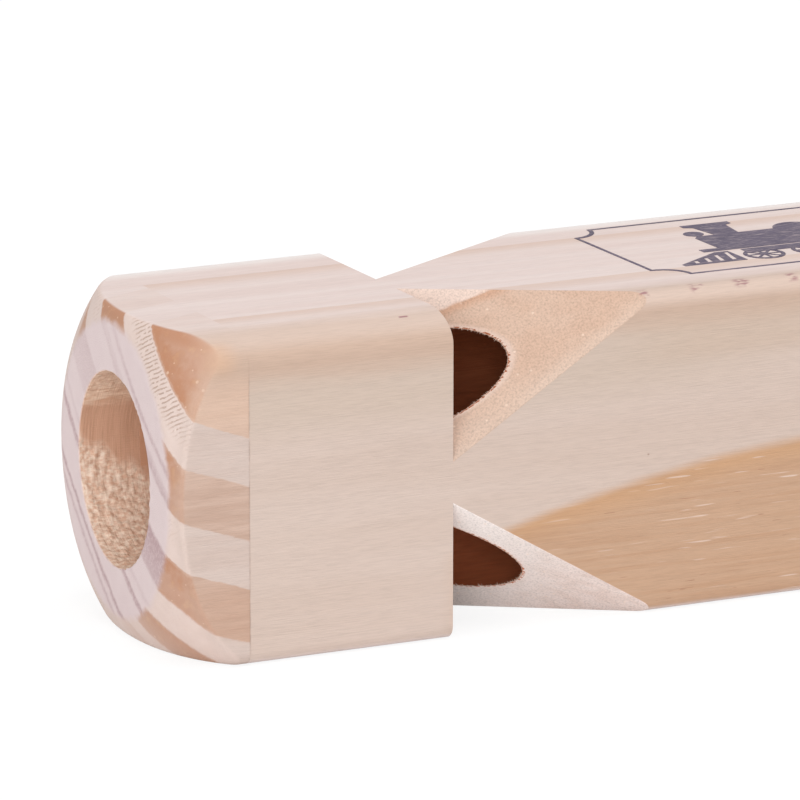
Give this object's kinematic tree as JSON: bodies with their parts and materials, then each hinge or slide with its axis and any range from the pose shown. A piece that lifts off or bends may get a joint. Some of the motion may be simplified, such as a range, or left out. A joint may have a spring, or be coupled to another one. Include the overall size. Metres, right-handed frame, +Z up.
{
  "type": "train whistle",
  "caption": "Square wooden train whistle with a rounded mouthpiece block, bored pipes of different depth and a sloping window across each long corner.",
  "frame": {"origin": "middle of the underside that the whistle rests on", "axes": "+X along the stick from the mouthpiece to the closed back end, +Z up out of the printed top face, +Y towards the far side"},
  "size_m": [0.1912, 0.038, 0.038],
  "materials": {
    "body_pine": "sanded bare pine, grain lengthwise, small dark print on top",
    "mouthpiece_pine": "sanded bare pine with tan growth rings, end grain in front",
    "plug_dowel": "plain dowel"
  },
  "bodies": {
    "root": {"body_block": "body_pine", "mouthpiece_block": "mouthpiece_pine", "fipple_plug_near_top": "plug_dowel", "fipple_plug_near_bottom": "plug_dowel", "fipple_plug_far_top": "plug_dowel", "fipple_plug_far_bottom": "plug_dowel"}
  },
  "joints": []
}
